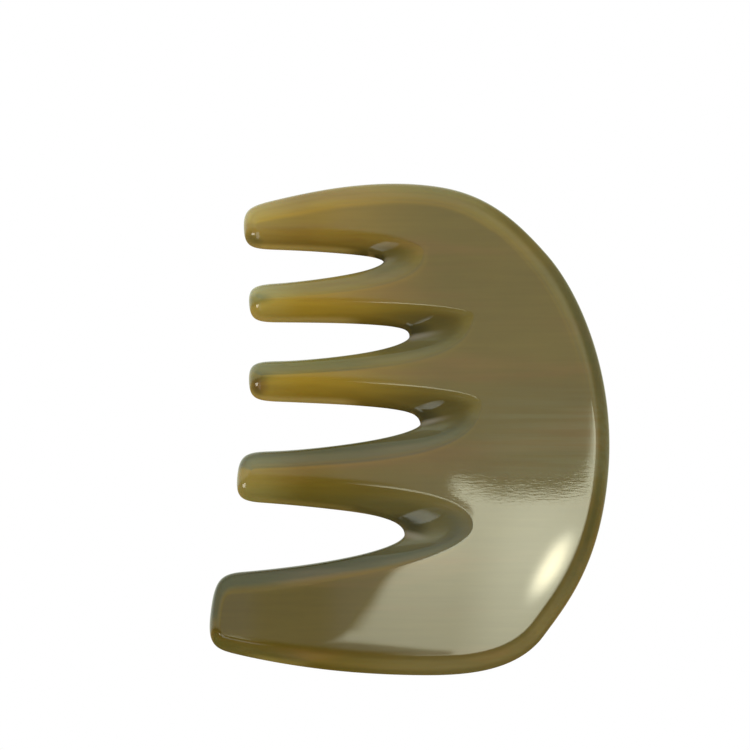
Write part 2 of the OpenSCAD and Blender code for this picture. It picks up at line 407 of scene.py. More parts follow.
class StudioLight(bpy.types.PropertyGroup):
    """Lights and floor of the studio."""

    softbox_colour: colour_property("Softbox colour", "Colour of the softbox", (1, 1.04, 0.82))
    softbox_strength: amount_property("Softbox strength", "Radiance of the softbox", 5)
    spot_colour: colour_property("Spot colour", "The softbox's bright spot", (1, 0.95, 0.68))
    spot_strength: amount_property("Bright spot", "Extra radiance in the softbox's middle", 18)
    halo_strength: amount_property("Halo", "Extra radiance beside the bright spot", 2.1)
    side_colour: colour_property("Side panel colour", "The panel by the teeth", (0.9, 1, 0.98))
    side_strength: amount_property("Side panel", "Radiance of the panel by the teeth", 1.8)
    glint_colour: colour_property("Tip lamp colour", "The lamp beyond the tips", (1, 0.97, 0.86))
    glint_strength: amount_property("Tip lamp", "Radiance of the lamp beyond the tips", 7)
    dome_strength: amount_property("Dome", "Even light from all around, for the colours", 1)
    ceiling_colour: sky_property("Ceiling", "in its flat faces", (0.72, 0.79, 0.76))
    far_ceiling_colour: sky_property("Far ceiling", "at its tips", (0.64, 0.66, 0.5))
    glow_colour: sky_property("Glow", "in its soft creases", (1.2, 1.08, 0.7))
    wall_colour: sky_property("Wall", "in its far flanks", (1.1, 1.2, 0.95))
    skirting_colour: sky_property("Skirting", "in its steepest far flanks", (0.6, 0.72, 0.6))
    window_colour: sky_property("Window", "at the ends of tips and roots", (1.05, 1.05, 0.75))
    end_colour: sky_property("End wall", "in the rim of its back", (0.4, 0.38, 0.24))
    shade_colour: sky_property("Shade", "above the floor near the camera", (0.05, 0.05, 0.04))
    far_floor_colour: sky_property("Far floor", "of the floor beyond it", (0.8, 0.85, 0.72))
    floor_colour: sky_property("Floor", "of the floor near the camera", (0.4, 0.26, 0.08))


def smooth_step(u):
    """0 below 0, 1 above 1, and 3u^2 - 2u^3 between."""
    v = np.clip(u, 0, 1)
    return v * v * (3 - 2 * v)


def heading(degrees):
    """Unit vectors that point the given ways, counter-clockwise from X."""
    angle = np.radians(degrees)
    return np.stack([np.cos(angle), np.sin(angle)], axis=-1)


def tooth_rows(tooth, corner, squareness):
    """A tooth's three places: the upper end of its rounded tip, the tip and the lower end."""
    tip = np.array(tooth[:2], float)
    down = heading(270 + tooth[LEAN])
    half = tooth[HALF_WIDTH]
    upper = tip - half * down - corner * heading(tooth[UPPER_HEADING])
    lower = tip + half * down + corner * heading(tooth[LOWER_HEADING])
    return [
        [*upper, tooth[UPPER_HEADING], tooth[UPPER_REACH], squareness * corner],
        [*tip, 270 + tooth[LEAN], squareness * half, squareness * half],
        [*lower, tooth[LOWER_HEADING], squareness * corner, tooth[LOWER_REACH]],
    ]


def loop_rows(back, teeth, roots, corner, squareness):
    """All places of a closed curve: the back, then tooth, root, tooth and so on."""
    rows = [list(row) for row in back]
    for i, tooth in enumerate(teeth):
        rows += tooth_rows(tooth, corner, squareness) + [list(row) for row in roots[i : i + 1]]
    return np.array(rows, float)


def inset_back(back, widths):
    """The back's places moved inward, their handles scaled like the chords between them."""
    rows = np.array(back, float)
    moved = rows[:, :2] + widths[:, None] * heading(rows[:, HEADING] + 90)
    chords = np.linalg.norm(np.diff(rows[:, :2], axis=0), axis=1)
    shrink = np.linalg.norm(np.diff(moved, axis=0), axis=1) / chords
    rows[:, :2] = moved
    rows[1:, BEHIND] *= shrink
    rows[:-1, AHEAD] *= shrink
    return rows


def stretches():
    """Points in each stretch between two places, how each is carved into a dish: 1 toward its
    end, -1 toward its start, 0 not at all, and the share of the lip at the dish's root."""
    points = [BACK_POINTS] * (len(BACK_PLACES) - 1) + [SIDE_POINTS]
    carved = [0] * len(BACK_PLACES)
    lips = [1] * len(BACK_PLACES)
    for share in ROOT_LIP_SHARES:
        points += [TIP_POINTS, TIP_POINTS, FLANK_POINTS, FLANK_POINTS]
        carved += [0, 0, 1, -1]
        lips += [1, 1, share, share]
    points += [TIP_POINTS, TIP_POINTS, SIDE_POINTS]
    carved += [0, 0, 0]
    lips += [1, 1, 1]
    return np.array(points), np.array(carved), np.array(lips)


def closed_curve(rows, stretch, share):
    """Points of a closed curve. Each place and the next are the ends of a cubic Bezier curve
    whose inner points lie along the places' headings at the length of their handles."""
    places = rows[:, :2]
    ways = heading(rows[:, HEADING])
    ahead = places + rows[:, AHEAD, None] * ways
    behind = np.roll(places - rows[:, BEHIND, None] * ways, -1, axis=0)
    finish = np.roll(places, -1, axis=0)
    t = share[:, None]
    u = 1 - t
    return (
        u**3 * places[stretch]
        + 3 * u * u * t * ahead[stretch]
        + 3 * u * t * t * behind[stretch]
        + t**3 * finish[stretch]
    )


def flank_rise(share, inward, carving, root_lip, shape):
    """Rise of the flank, a share of the way along the inward lines from outline to crest: a
    lip rounded by a quarter ellipse, plus a slope, cut off at 1 with the corner between them
    rounded by a parabola, more on flanks that face +Y and most at the tips. Where the flank is
    carved into a dish the lip is the root's and the slope is a power of the share, which
    hollows it."""
    width = np.linalg.norm(inward, axis=1)
    lip = shape.lip_height + (root_lip - shape.lip_height) * carving
    lip = lip / (shape.thickness / 2)
    hollowness = 1 + (shape.hollowness - 1) * carving
    far = smooth_step(-inward[:, Y] / width)
    tip = smooth_step(inward[:, X] / width) * (1 - carving)
    soft = shape.crease_softness + (shape.far_softness - shape.crease_softness) * far
    soft += (shape.tip_softness - soft) * tip
    from_outline = np.minimum(share * width * MM / shape.lip_width, 1)
    edge = np.sqrt(1 - (1 - from_outline) ** 2)
    rise = lip * edge + (1 + soft - lip) * share**hollowness
    near = np.maximum(soft - np.abs(rise - 1), 0) / soft
    return np.minimum(rise, 1) - near * near * soft / 4


def face_height(x, shape):
    """Half the thickness at a drawn x: the full one less a smooth step toward the tips."""
    return shape.thickness / 2 - shape.tip_sink * smooth_step((SINK_START - x) / SINK_LENGTH)


def strips(rows):
    """Squares between neighbouring rows of numbered points, counter-clockwise for rows that
    lie further left, seen along a row."""
    near, far = rows[:-1], rows[1:]
    squares = np.stack([near[:, :-1], near[:, 1:], far[:, 1:], far[:, :-1]], axis=-1)
    return squares.reshape(-1, 4)


def closed_strips(rows):
    """The same for rows that close on themselves."""
    return strips(np.concatenate([rows, rows[:, :1]], axis=1))


def half_surface(shape):
    """The upper half of the comb's skin: points (drawn x, drawn y, height over the middle
    plane), squares, triangles, the number of points in the outline, and three marks of each
    point for the paint: how far its flank faces +Y, from -1 to 1, how deep it lies between the
    crest and the outline, and how far its flank is carved. On the flat face the depth is minus
    the distance from the crest in centimetres, and the other marks run on from the crest, from
    one side of a tooth to the other.

    Between the outline and the crest runs a band whose point at share s lies s of the way
    across and at the face's height times its flank_rise. The tops of the teeth are ruled
    between pairs of crest points, and the rest of the face is the crest shrunk toward one
    place in rings.
    """
    points, carved, lips = stretches()
    stretch = np.repeat(np.arange(len(points)), points)
    first = np.cumsum(points) - points
    around = len(stretch)
    share = (np.arange(around) - first[stretch]) / points[stretch]
    corner = shape.corner_length / MM
    outline = closed_curve(
        loop_rows(BACK_PLACES, TEETH, ROOTS, corner, shape.squareness), stretch, share
    )
    inner_back = inset_back(BACK_PLACES, np.array(RIM_SHARES) * shape.rim_width / MM)
    crest = closed_curve(
        loop_rows(inner_back, TOPS, DISH_ENDS, TOP_CORNER_LENGTH, shape.squareness),
        stretch,
        share,
    )
    toward_root = np.where(carved[stretch] > 0, share, 1 - share)
    carving = np.abs(carved[stretch]) * smooth_step(
        (toward_root - CARVE_START) / (CARVE_END - CARVE_START)
    )

    # The band
    across = (1 - np.cos(np.pi * np.arange(RINGS + 1) / RINGS))[:, None] / 2
    inward = crest - outline
    drawn = outline + across[..., None] * inward
    rise = flank_rise(across, inward, carving, shape.root_lip * lips[stretch], shape)
    height = face_height(drawn[..., X], shape) * rise
    facing = -inward[:, Y] / np.linalg.norm(inward, axis=1)
    marks = np.stack(np.broadcast_arrays(facing, 1 - rise, carving), axis=-1)
    places = [drawn.reshape(-1, 2)]
    heights = [height.ravel()]
    marks = [marks.reshape(-1, 3)]
    number = np.arange(height.size).reshape(height.shape)
    count = height.size
    squares = [closed_strips(number)]
    triangles = []

    # The tops of the teeth. A tooth and its root are four places, the second of them the tip.
    rim = number[-1]
    pairs = np.arange(1, TOP_PAIRS + 1)
    steps = np.linspace(0, 1, TOP_STEPS + 1)[None, 1:-1, None]
    tips = first[len(BACK_PLACES) + 1 + 4 * np.arange(len(TEETH))]
    edge = []
    for tip, next_tip in zip(tips, [*tips[1:], tips[0] + around]):
        upper, lower = (tip - pairs) % around, (tip + pairs) % around
        ruled = crest[upper, None] + steps * (crest[lower, None] - crest[upper, None])
        new = count + np.arange(ruled.size // 2).reshape(ruled.shape[:2])
        count += new.size
        places.append(ruled.reshape(-1, 2))
        heights.append(face_height(places[-1][:, X], shape))
        ends = marks[0][rim[upper], None], marks[0][rim[lower], None]
        mark = ends[0] + steps * (ends[1] - ends[0])
        wide = np.linalg.norm(crest[lower] - crest[upper], axis=1)[:, None]
        mark[..., 1] = -np.minimum(steps, 1 - steps)[..., 0] * wide / MM_PER_CM
        marks.append(mark.reshape(-1, 3))
        rows = np.concatenate([rim[upper, None], new, rim[lower, None]], axis=1)
        squares.append(strips(rows))
        tip_fan = np.full(TOP_STEPS, rim[tip])
        triangles.append(np.stack([tip_fan, rows[0, 1:], rows[0, :-1]], axis=-1))
        dish_end = np.arange(tip + TOP_PAIRS, next_tip - TOP_PAIRS + 1) % around
        edge += [new[-1], rim[dish_end]]

    # The rest of the face
    edge = np.concatenate(edge)
    middle = np.array(FACE_MIDDLE)
    shrink = np.array(FACE_SHARES)[:, None, None]
    from_middle = np.concatenate(places)[edge] - middle
    rings = middle + shrink * from_middle
    mark = np.repeat(np.concatenate(marks)[None, edge], len(shrink), axis=0)
    from_edge = (1 - shrink[..., 0]) * np.linalg.norm(from_middle, axis=1)
    mark[..., 1] -= from_edge / MM_PER_CM
    marks += [mark.reshape(-1, 3), np.array([[0, mark[..., 1].min(), 0]])]
    new = count + np.arange(rings.size // 2).reshape(rings.shape[:2])
    count += new.size
    places += [rings.reshape(-1, 2), middle[None]]
    heights += [face_height(part[:, X], shape) for part in places[-2:]]
    squares.append(closed_strips(np.concatenate([edge[None], new])))
    last = new[-1]
    triangles.append(np.stack([last, np.roll(last, -1), np.full(len(last), count)], axis=-1))

    surface = np.column_stack([np.concatenate(places), np.concatenate(heights)])
    marks = np.concatenate(marks)
    return surface, np.concatenate(squares), np.concatenate(triangles), around, marks


def fitted(places, outline, shape):
    """Drawn places in metres, so that the outline fills the comb's length and width."""
    low, high = outline.min(axis=0), outline.max(axis=0)
    return (places - (low + high) / 2) * (shape.width, shape.length) / (high - low)


def comb_surface(shape):
    """The comb's closed skin in metres: the upper half and its mirror image below the middle
    plane, which share the outline's points, stretched to the length and width. Comes with the
    marks of all its points."""
    half, squares, triangles, around, marks = half_surface(shape)
    flat = fitted(half[:, :2], half[:around, :2], shape)
    middle = shape.thickness / 2
    upper = np.column_stack([flat, middle + half[:, 2]])
    lower = np.column_stack([flat, middle - half[:, 2]])[around:]
    points = np.concatenate([upper, lower])
    mirrored = np.arange(len(half))
    mirrored[around:] += len(half) - around
    corners = [*squares.tolist(), *triangles.tolist()]
    corners += [*mirrored[squares[:, ::-1]].tolist(), *mirrored[triangles[:, ::-1]].tolist()]
    return points, corners, np.concatenate([marks, marks[around:]])


def drawn_to_part(x, y):
    """A drawn place in millimetres as X and Y of the part in metres."""
    shape = bpy.context.scene.comb_shape
    half, _, _, around, _ = half_surface(shape)
    return fitted(np.array([x, y]), half[:around, :2], shape)


def new_mesh_object(name, points, faces, smooth):
    mesh = bpy.data.meshes.new(name)
    mesh.from_pydata(np.asarray(points, float).tolist(), [], faces)
    mesh.polygons.foreach_set("use_smooth", np.full(len(mesh.polygons), smooth))
    mesh.update()
    piece = bpy.data.objects.new(name, mesh)
    bpy.context.scene.collection.objects.link(piece)
    return piece


class Paint:
    """The nodes of one material or world, and the sums that its colours are made of."""

    def __init__(self, holder):
        holder.use_nodes = True
        self.tree = holder.node_tree
        self.tree.nodes.clear()

    def add(self, kind, settings=None, **values):
        """A new node with its settings and the values or links of its inputs, by input name. An
        underscore in a name stands for a space, and in0, in1 and so on pick inputs by place."""
        node = self.tree.nodes.new(kind)
        for key, value in (settings or {}).items():
            setattr(node, key, value)
        for key, value in values.items():
            place = int(key[2:]) if key.startswith("in") else key.replace("_", " ")
            if isinstance(value, bpy.types.NodeSocket):
                self.tree.links.new(value, node.inputs[place])
            else:
                node.inputs[place].default_value = value
        return node

    def finish(self, shader, output="ShaderNodeOutputMaterial"):
        self.add(output, in0=shader.outputs[0])

    def place(self):
        return self.add("ShaderNodeTexCoord").outputs["Object"]

    def attribute(self, name, output):
        return self.add("ShaderNodeAttribute", {"attribute_name": name}).outputs[output]

    def split(self, vector):
        return self.add("ShaderNodeSeparateXYZ", in0=vector).outputs

    def calculate(self, operation, first, second=0.0, third=0.0):
        settings = {"operation": operation}
        return self.add("ShaderNodeMath", settings, in0=first, in1=second, in2=third).outputs[0]

    def product(self, result, *factors):
        for factor in factors:
            result = self.calculate("MULTIPLY", result, factor)
        return result

    def ramp(self, value, start, finish, low=0.0, high=1.0, kind="SMOOTHSTEP"):
        """The value's share of the way from start to finish, between low and high."""
        limits = {"in1": start, "in2": finish, "in3": low, "in4": high}
        node = self.add("ShaderNodeMapRange", {"interpolation_type": kind}, in0=value, **limits)
        return node.outputs[0]

    def mix(self, factor, first, second, blend="MIX"):
        """The colour between two others, by a factor that may vary."""
        settings = {"data_type": "RGBA", "blend_type": blend, "clamp_factor": True}
        first, second = [
            colour if isinstance(colour, bpy.types.NodeSocket) else (*colour, 1)
            for colour in (first, second)
        ]
        return self.add("ShaderNodeMix", settings, in0=factor, in6=first, in7=second).outputs[2]

    def tint(self, factor, colour, shares):
        """The colour times the given shares, as far as the factor says."""
        return self.mix(factor, colour, shares, "MULTIPLY")

    def grain(self, place, turn, per_mm, detail, shift=0.0):
        """Noise from 0 to 1 that is drawn out along the horn: per_mm is how often it changes in
        a millimetre along the teeth, across them and through the plate."""
        turned = self.add(
            "ShaderNodeMapping",
            in1=(shift, shift, shift),
            in2=(0, 0, math.radians(turn)),
            in3=tuple(step / MM for step in per_mm),
            in0=place,
        )
        noise = self.add(
            "ShaderNodeTexNoise",
            Vector=turned.outputs[0],
            Scale=1.0,
            Detail=detail,
            Roughness=GRAIN_ROUGHNESS,
        )
        return noise.outputs[0]

    def reach(self, place, centre, half_length, half_width, turn):
        """How far a place lies from an oval's centre: 1 on the oval. The oval's half length and
        half width are in millimetres."""
        turned = self.add(
            "ShaderNodeMapping",
            {"vector_type": "TEXTURE"},
            in0=place,
            in1=tuple(centre),
            in2=(0, 0, math.radians(turn)),
            in3=(half_length * MM, half_width * MM, 1),
        )
        length = self.add("ShaderNodeVectorMath", {"operation": "LENGTH"}, in0=turned.outputs[0])
        return length.outputs["Value"]

    def ovals(self, place, ovals, softness):
        """1 in the ovals of a table and 0 outside."""
        inside = 0.0
        for x, y, *oval in ovals:
            reach = self.reach(place, (*drawn_to_part(x, y), 0), *oval)
            edge = self.ramp(reach, 1 + softness, 1 - softness)
            inside = self.calculate("MAXIMUM", inside, edge)
        return inside


def new_material(name):
    """A material and the paint for it."""
    material = bpy.data.materials.new(name)
    return material, Paint(material)


def horn_marks(paint):
    """What the horn's paint reads at a point: its place, X and Y, the surface's three marks, and
    masks from 0 to 1 of what faces +Y, away from the wide end tooth, or -Y, toward it, of the
    teeth, of all that is as far along the row as the first tooth, and of the dishes' ends."""
    ramp, calculate = paint.ramp, paint.calculate
    at = SimpleNamespace(place=paint.place())
    at.x, at.y, _ = paint.split(at.place)
    at.facing, at.depth, at.carving = paint.split(paint.attribute("flank", "Vector"))
    at.away = ramp(calculate("MULTIPLY_ADD", at.carving, 0.4, at.facing), 0.1, 0.6)
    at.toward = ramp(calculate("MULTIPLY_ADD", at.carving, -0.4, at.facing), -0.25, -0.5)
    body_from = ramp(at.y, -0.032, -0.028, -0.02, 0.016)
    at.on_tooth = ramp(calculate("SUBTRACT", at.x, body_from), 0.002, -0.004)
    at.first_tooth = ramp(at.y, 0.03, 0.038)
    at.dish_end = paint.product(
        ramp(at.facing, -0.5, -0.15),
        at.carving,
        ramp(at.facing, 0.3, 0.0),
        ramp(at.depth, 0.0, 0.004),
    )
    return at


def horn_and_glow_colour(paint, finish, at):
    """The horn's colour: one that runs from the body to the teeth and along the row, golden on the
    teeth partly from the horn itself and partly from painted light shining through them, with
    warm clouds, streaks along the teeth, tips made lighter both by their own colour and by
    painted light shining through them, pale lines on the body and one stain."""
    ramp, calculate, mix = paint.ramp, paint.calculate, paint.mix
    # The teeth's golden colour is partly the horn's own and partly painted light shining through
    # them
    body = mix(ramp(at.y, -0.045, 0.045), finish.body_near, finish.body_far)
    teeth = mix(ramp(at.y, -0.022, 0.012), finish.teeth_near, finish.teeth_middle)
    teeth = mix(at.first_tooth, teeth, finish.teeth_far)
    colour = mix(ramp(at.x, 0.008, -0.022), body, teeth)

    clouds = paint.grain(at.place, 5, (0.035, 0.09, 0.09), 3)
    drift = paint.grain(at.place, 8, (0.02, 0.16, 0.16), 3, shift=7)
    streaks = paint.grain(at.place, 6, (0.05, 1.1, 1.1), 4)
    colour = mix(ramp(drift, 0.48, 0.72, 0, 0.45), colour, finish.warm)
    # Lighter tips: partly the horn's own colour and partly painted light shining through them
    from_second = ramp(at.y, 0.012, 0.022, 1, 1.8)
    tips = paint.product(
        ramp(at.x, -0.02, -0.034),
        ramp(at.y, -0.026, -0.012, 0, 0.4),
        calculate("MULTIPLY_ADD", at.first_tooth, -1, from_second),
    )
    colour = mix(tips, colour, finish.tips)
    light = calculate("MULTIPLY_ADD", clouds, 0.36, 0.71)
    light = calculate("MULTIPLY_ADD", streaks, 0.22, light)
    colour = paint.add("ShaderNodeHueSaturation", in2=light, in4=colour).outputs[0]

    lines = paint.grain(at.place, 4, (0.03, 0.8, 0.8), 3, shift=3)
    from_middle = calculate("ABSOLUTE", calculate("ADD", at.y, 0.004))
    haze = paint.product(
        ramp(from_middle, 0.014, 0.004),
        ramp(at.x, 0.006, 0.024),
        ramp(lines, 0.35, 0.65, 0.1, 0.5),
    )
    colour = mix(haze, colour, finish.haze)

    centre = (*drawn_to_part(*STAIN), STAIN_HEIGHT)
    reach = paint.add("ShaderNodeVectorMath", {"operation": "DISTANCE"}, in0=at.place, in1=centre)
    spread = calculate("MULTIPLY_ADD", clouds, 0.002, reach.outputs["Value"])
    return mix(ramp(spread, 0.0042, 0.0014, 0, 0.6), colour, finish.stain)


def flank_colour(paint, finish, colour, at):
    """The colour with painted reflections, shade, highlights and glow on the teeth's flanks, the
    dishes and the back's rim.
    """
    ramp, calculate, product = paint.ramp, paint.calculate, paint.product
    mix, tint = paint.mix, paint.tint
    x, y, depth = at.x, at.y, at.depth

    # Painted reflection: flanks that face +Y are tinted greyer, less so on the first teeth and
    # the back, and painted shade makes the middle teeth's far flanks darker
    past_last = ramp(y, -0.026, -0.032, 0, 0.07)
    far = product(at.away, ramp(calculate("SUBTRACT", depth, past_last), -0.07, 0.02))
    far_share = product(ramp(y, 0.03, 0.038, 1, 0.6), ramp(y, 0.012, 0.022, 1, 0.8))
    at_back = ramp(x, 0.012, 0.024)
    far_share = calculate("MULTIPLY_ADD", at_back, -0.35, far_share)
    colour = tint(product(far, far_share), colour, finish.painted_far_reflection_tint)
    shade = product(far, ramp(y, 0.022, 0.014), ramp(y, -0.02, 0.004), ramp(x, 0.0, -0.012))
    colour = tint(shade, colour, finish.shade_tint)

    # Painted shade darkens flanks that face -Y, and painted light makes them paler on the two
    # widest teeth
    near = product(at.toward, at.on_tooth, ramp(depth, -0.05, 0.3))
    colour = tint(product(near, ramp(y, -0.004, 0.004, 0.5, 1)), colour, finish.painted_near_shade_tint)
    colour = tint(product(near, ramp(y, -0.004, -0.026)), colour, finish.painted_low_tooth_light_tint)

    # Painted reflection low on the far flanks' edges, and a painted glow of light along their
    # crests
    pale = product(ramp(y, 0.0, 0.01, 0, 0.6), ramp(x, -0.003, -0.01))
    pale = calculate("MAXIMUM", pale, at.first_tooth)
    pale = product(pale, at.away, ramp(x, 0.022, 0.012), ramp(depth, 0.06, 0.18))
    colour = tint(pale, colour, finish.painted_pale_reflection_tint)
    painted_crest_glow = product(at.first_tooth, ramp(at_back, 0, 1, 1, 0.2))
    painted_crest_glow = product(
        at.away,
        ramp(painted_crest_glow, 0, 1, 0.45, 1),
        ramp(y, -0.034, -0.026, 0.15, 1),
        ramp(depth, -0.16, 0.02),
        ramp(depth, 0.18, 0.03),
    )
    colour = tint(painted_crest_glow, colour, finish.painted_crest_glow_tint)

    # The blunt tips
    colour = tint(paint.ovals(at.place, BLUNT_TIPS, 0.7), colour, finish.blunt_tint)

    # The dishes: painted reflection makes their ends pale, painted shade makes their sides dark
    # and their valleys darker, and painted highlights make the gleams at the roots
    colour = tint(product(at.dish_end, ramp(depth, 0.35, 0.0)), colour, finish.painted_end_reflection_tint)
    dish = product(ramp(depth, 0.02, 0.4), at.carving, 0.8)
    colour = mix(dish, colour, mix(at.away, finish.dish, finish.far_dish_shade_and_reflection))
    painted_valley_shade = product(
        near,
        ramp(depth, 0.45, 0.65, 0, 0.8),
        ramp(depth, 0.6, 0.85, 1, 0.2),
        ramp(at.carving, 0.6, 1.0),
        ramp(at.first_tooth, 0, 1, 1, 0.2),
    )
    colour = mix(painted_valley_shade, colour, finish.painted_valley_shade)
    # Painted highlights at the roots
    gleams = product(paint.ovals(at.place, PAINTED_GLEAMS, 0.8), ramp(depth, 0.2, 0.6, 0, 0.8))
    colour = mix(gleams, colour, finish.painted_gleam)

    # A painted glow of light shining through the thin near edges of the narrow teeth
    thin = product(
        near,
        ramp(depth, 0.35, 0.75, 0, 0.95),
        ramp(x, -0.034, -0.028),
        ramp(x, -0.009, -0.014),
        ramp(y, -0.012, 0, 0.3, 1),
    )
    colour = mix(thin, colour, finish.edge)

    # The rim: painted light makes it paler where it faces -Y, and painted shade makes the outer
    # rim of the back darker
    rim = product(calculate("SUBTRACT", 1.0, at.on_tooth), ramp(depth, 0.0, 0.15))
    painted_low_rim_light = product(rim, at.toward, ramp(depth, 0.75, 0.35))
    colour = tint(painted_low_rim_light, colour, finish.painted_low_rim_tint)
    return tint(product(rim, ramp(x, 0.026, 0.036)), colour, finish.painted_side_rim_shade_tint)


def polish(paint, at):
    """How well the horn mirrors. It is dull on flanks that face -Y and in the dishes, but for the
    streaks, a thin line along the near crests and a corner of the wide end tooth."""
    ramp, calculate, product = paint.ramp, paint.calculate, paint.product
    x, y, depth = at.x, at.y, at.depth
    line = product(
        ramp(depth, 0.07, 0.04),
        at.on_tooth,
        ramp(depth, -0.02, 0.0),
        ramp(x, -0.014, -0.002),
        ramp(x, 0.0115, 0.0095),
        ramp(y, 0.034, 0.03),
    )
    corner = product(
        ramp(depth, 0.06, 0.03), at.on_tooth, ramp(x, -0.027, -0.034), ramp(y, -0.034, -0.038)
    )
    streaks = paint.ovals(at.place, STREAKS, 0.15)
    bright = calculate("MAXIMUM", streaks, calculate("MAXIMUM", line, corner))

    on_top = product(ramp(x, 0.004, -0.006), ramp(depth, -0.1, 0.01))
    tip = ramp(y, -0.045, 0.0, -0.0395, -0.03, "LINEAR")
    dull = product(
        calculate("MAXIMUM", ramp(depth, 0.0, 0.006), on_top),
        at.toward,
        ramp(calculate("SUBTRACT", x, tip), -0.0004, 0.0004),
        ramp(x, 0.034, 0.026),
        calculate("SUBTRACT", 1.0, bright),
    )
    lip = product(ramp(depth, 0.55, 0.65), at.carving, ramp(at.facing, 0.3, 0.0))
    dull = calculate("MAXIMUM", dull, lip)
    dull = calculate("MAXIMUM", dull, product(at.dish_end, ramp(depth, 0.4, 0.25)))
    return calculate("MULTIPLY_ADD", dull, -FULL_POLISH, FULL_POLISH)


def relief(paint, finish, at):
    """Slow waves in the polished faces, and fine hairlines in a band across the body."""
    ramp, calculate = paint.ramp, paint.calculate
    from_band = calculate("ABSOLUTE", calculate("ADD", at.y, 0.012))
    hairlines = paint.product(
        paint.grain(at.place, -12, (0.45, 2.6, 2.6), 2),
        ramp(from_band, 0.0068, 0.0035),
        ramp(at.x, 0.0, 0.006),
        finish.hairline_depth * MICROMETRE,
    )
    waves = paint.grain(at.place, 0, (0.03, 0.06, 0.06), 1)
    height = calculate("MULTIPLY_ADD", waves, finish.wave_depth * MICROMETRE, hairlines)
    return paint.add("ShaderNodeBump", Strength=1.0, Distance=1.0, Height=height).outputs[0]


def horn_material(finish):
    """Polished horn, in which some of the light wanders."""
    material, paint = new_material("horn")
    at = horn_marks(paint)
    shader = paint.add(
        "ShaderNodeBsdfPrincipled",
        Base_Color=flank_colour(paint, finish, horn_and_glow_colour(paint, finish, at), at),
        Roughness=finish.roughness,
        IOR=HORN_IOR,
        Specular_IOR_Level=polish(paint, at),
        Normal=relief(paint, finish, at),
        Subsurface_Weight=finish.glow,
        Subsurface_Radius=WANDER_SHARES,
        Subsurface_Scale=finish.glow_depth,
    )
    paint.finish(shader)
    return material


def glowing_material(name, colour, strength):
    """Light of one colour that fades toward the card's edge."""
    material, paint = new_material(name)
    strength = paint.product(paint.attribute("light", "Fac"), strength)
    paint.finish(paint.add("ShaderNodeEmission", Color=(*colour, 1), Strength=strength))
    return material


def mirrored_places(places, camera_place, face, height):
    """Where the rays from the camera that the flat face mirrors at the given drawn places
    reach a height: the mirrored camera's rays, carried on in straight lines."""
    source = np.array([camera_place.x, camera_place.y, 2 * face - camera_place.z])
    spots = np.array([[*drawn_to_part(x, y), face] for x, y in places])
    along = (height - source[2]) / (spots[:, 2:] - source[2])
    return source + along * (spots - source)


def make_floor():
    """A white floor without a shadow. The comb doesn't mirror it, but the light below the
    horizon in its place."""
    half = FLOOR_HALF_SIZE
    points = [(-half, -half, 0), (half, -half, 0), (half, half, 0), (-half, half, 0)]
    floor = new_mesh_object("floor", points, [(0, 1, 2, 3)], False)
    material, paint = new_material("floor")
    shader = paint.add(
        "ShaderNodeMixShader",
        in0=paint.add("ShaderNodeLightPath").outputs["Is Camera Ray"],
        in1=paint.add("ShaderNodeBsdfDiffuse", Color=FLOOR_GREY).outputs[0],
        in2=paint.add("ShaderNodeEmission", Color=WHITE).outputs[0],
    )
    paint.finish(shader)
    floor.data.materials.append(material)
    floor.visible_glossy = False
    floor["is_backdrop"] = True


def make_card(name, outer, inner, material):
    """A glowing card that shows only where the comb mirrors it: a rim that fades from dark to
    light between two outlines, and an even middle."""
    count = len(outer)
    here = np.arange(count)
    following = np.roll(here, -1)
    rim = np.stack([here, following, count + following, count + here], axis=-1)
    faces = [*rim.tolist(), (count + here).tolist()]
    card = new_mesh_object(name, np.concatenate([outer, inner]), faces, False)
    light = card.data.attributes.new("light", "FLOAT", "POINT")
    light.data.foreach_set("value", np.repeat([0.0, 1.0], count))
    card.data.materials.append(material)
    card.visible_camera = False
    card.visible_diffuse = False
    card.visible_shadow = False
    card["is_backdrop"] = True


def softbox_material(studio, spot, halo):
    """The softbox's light: even, faded toward its edge, with a soft halo, and a bright spot that
    falls off as e to the power of minus the reach cubed."""
    material, paint = new_material("softbox")
    ramp, calculate = paint.ramp, paint.calculate
    place = paint.place()
    x, y, _ = paint.split(place)
    cube = calculate("POWER", paint.reach(place, spot, *SPOT_OVAL), 3.0)
    fall = calculate("EXPONENT", calculate("MULTIPLY", cube, -1.0))
    around = ramp(paint.reach(place, halo, *HALO_OVAL), 1.7, 0.2)
    strength = paint.product(
        ramp(y, 0.04, 0.075, 0.88, 1.4), ramp(x, 0.045, 0.08, 1.0, 0.75), studio.softbox_strength
    )
    strength = calculate("MULTIPLY_ADD", fall, studio.spot_strength, strength)
    strength = calculate("MULTIPLY_ADD", around, studio.halo_strength, strength)
    strength = paint.product(strength, paint.attribute("light", "Fac"))
    colour = paint.mix(fall, studio.softbox_colour, studio.spot_colour)
    paint.finish(paint.add("ShaderNodeEmission", Color=colour, Strength=strength))
    return material


def make_softbox(studio, camera_place, face):
    """The softbox, where the flat face mirrors its outline to the camera."""
    table = np.array(SOFTBOX_OUTLINE)
    outer = mirrored_places(table[:, :2], camera_place, face, SOFTBOX_HEIGHT)
    inner = mirrored_places(table[:, :2] + table[:, 2:], camera_place, face, SOFTBOX_HEIGHT)
    spot, halo = mirrored_places([SPOT_MIDDLE, HALO_MIDDLE], camera_place, face, SOFTBOX_HEIGHT)
    make_card("softbox", outer, inner, softbox_material(studio, spot, halo))


def sky_points(chart):
    """Places in the sky by their charts' angles from straight up, toward X and toward Y."""
    angles = np.radians(chart)
    lean = np.linalg.norm(angles, axis=1)
    flat = angles * (np.sin(lean) / lean)[:, None]
    return SKY_DISTANCE * np.column_stack([flat, np.cos(lean)])


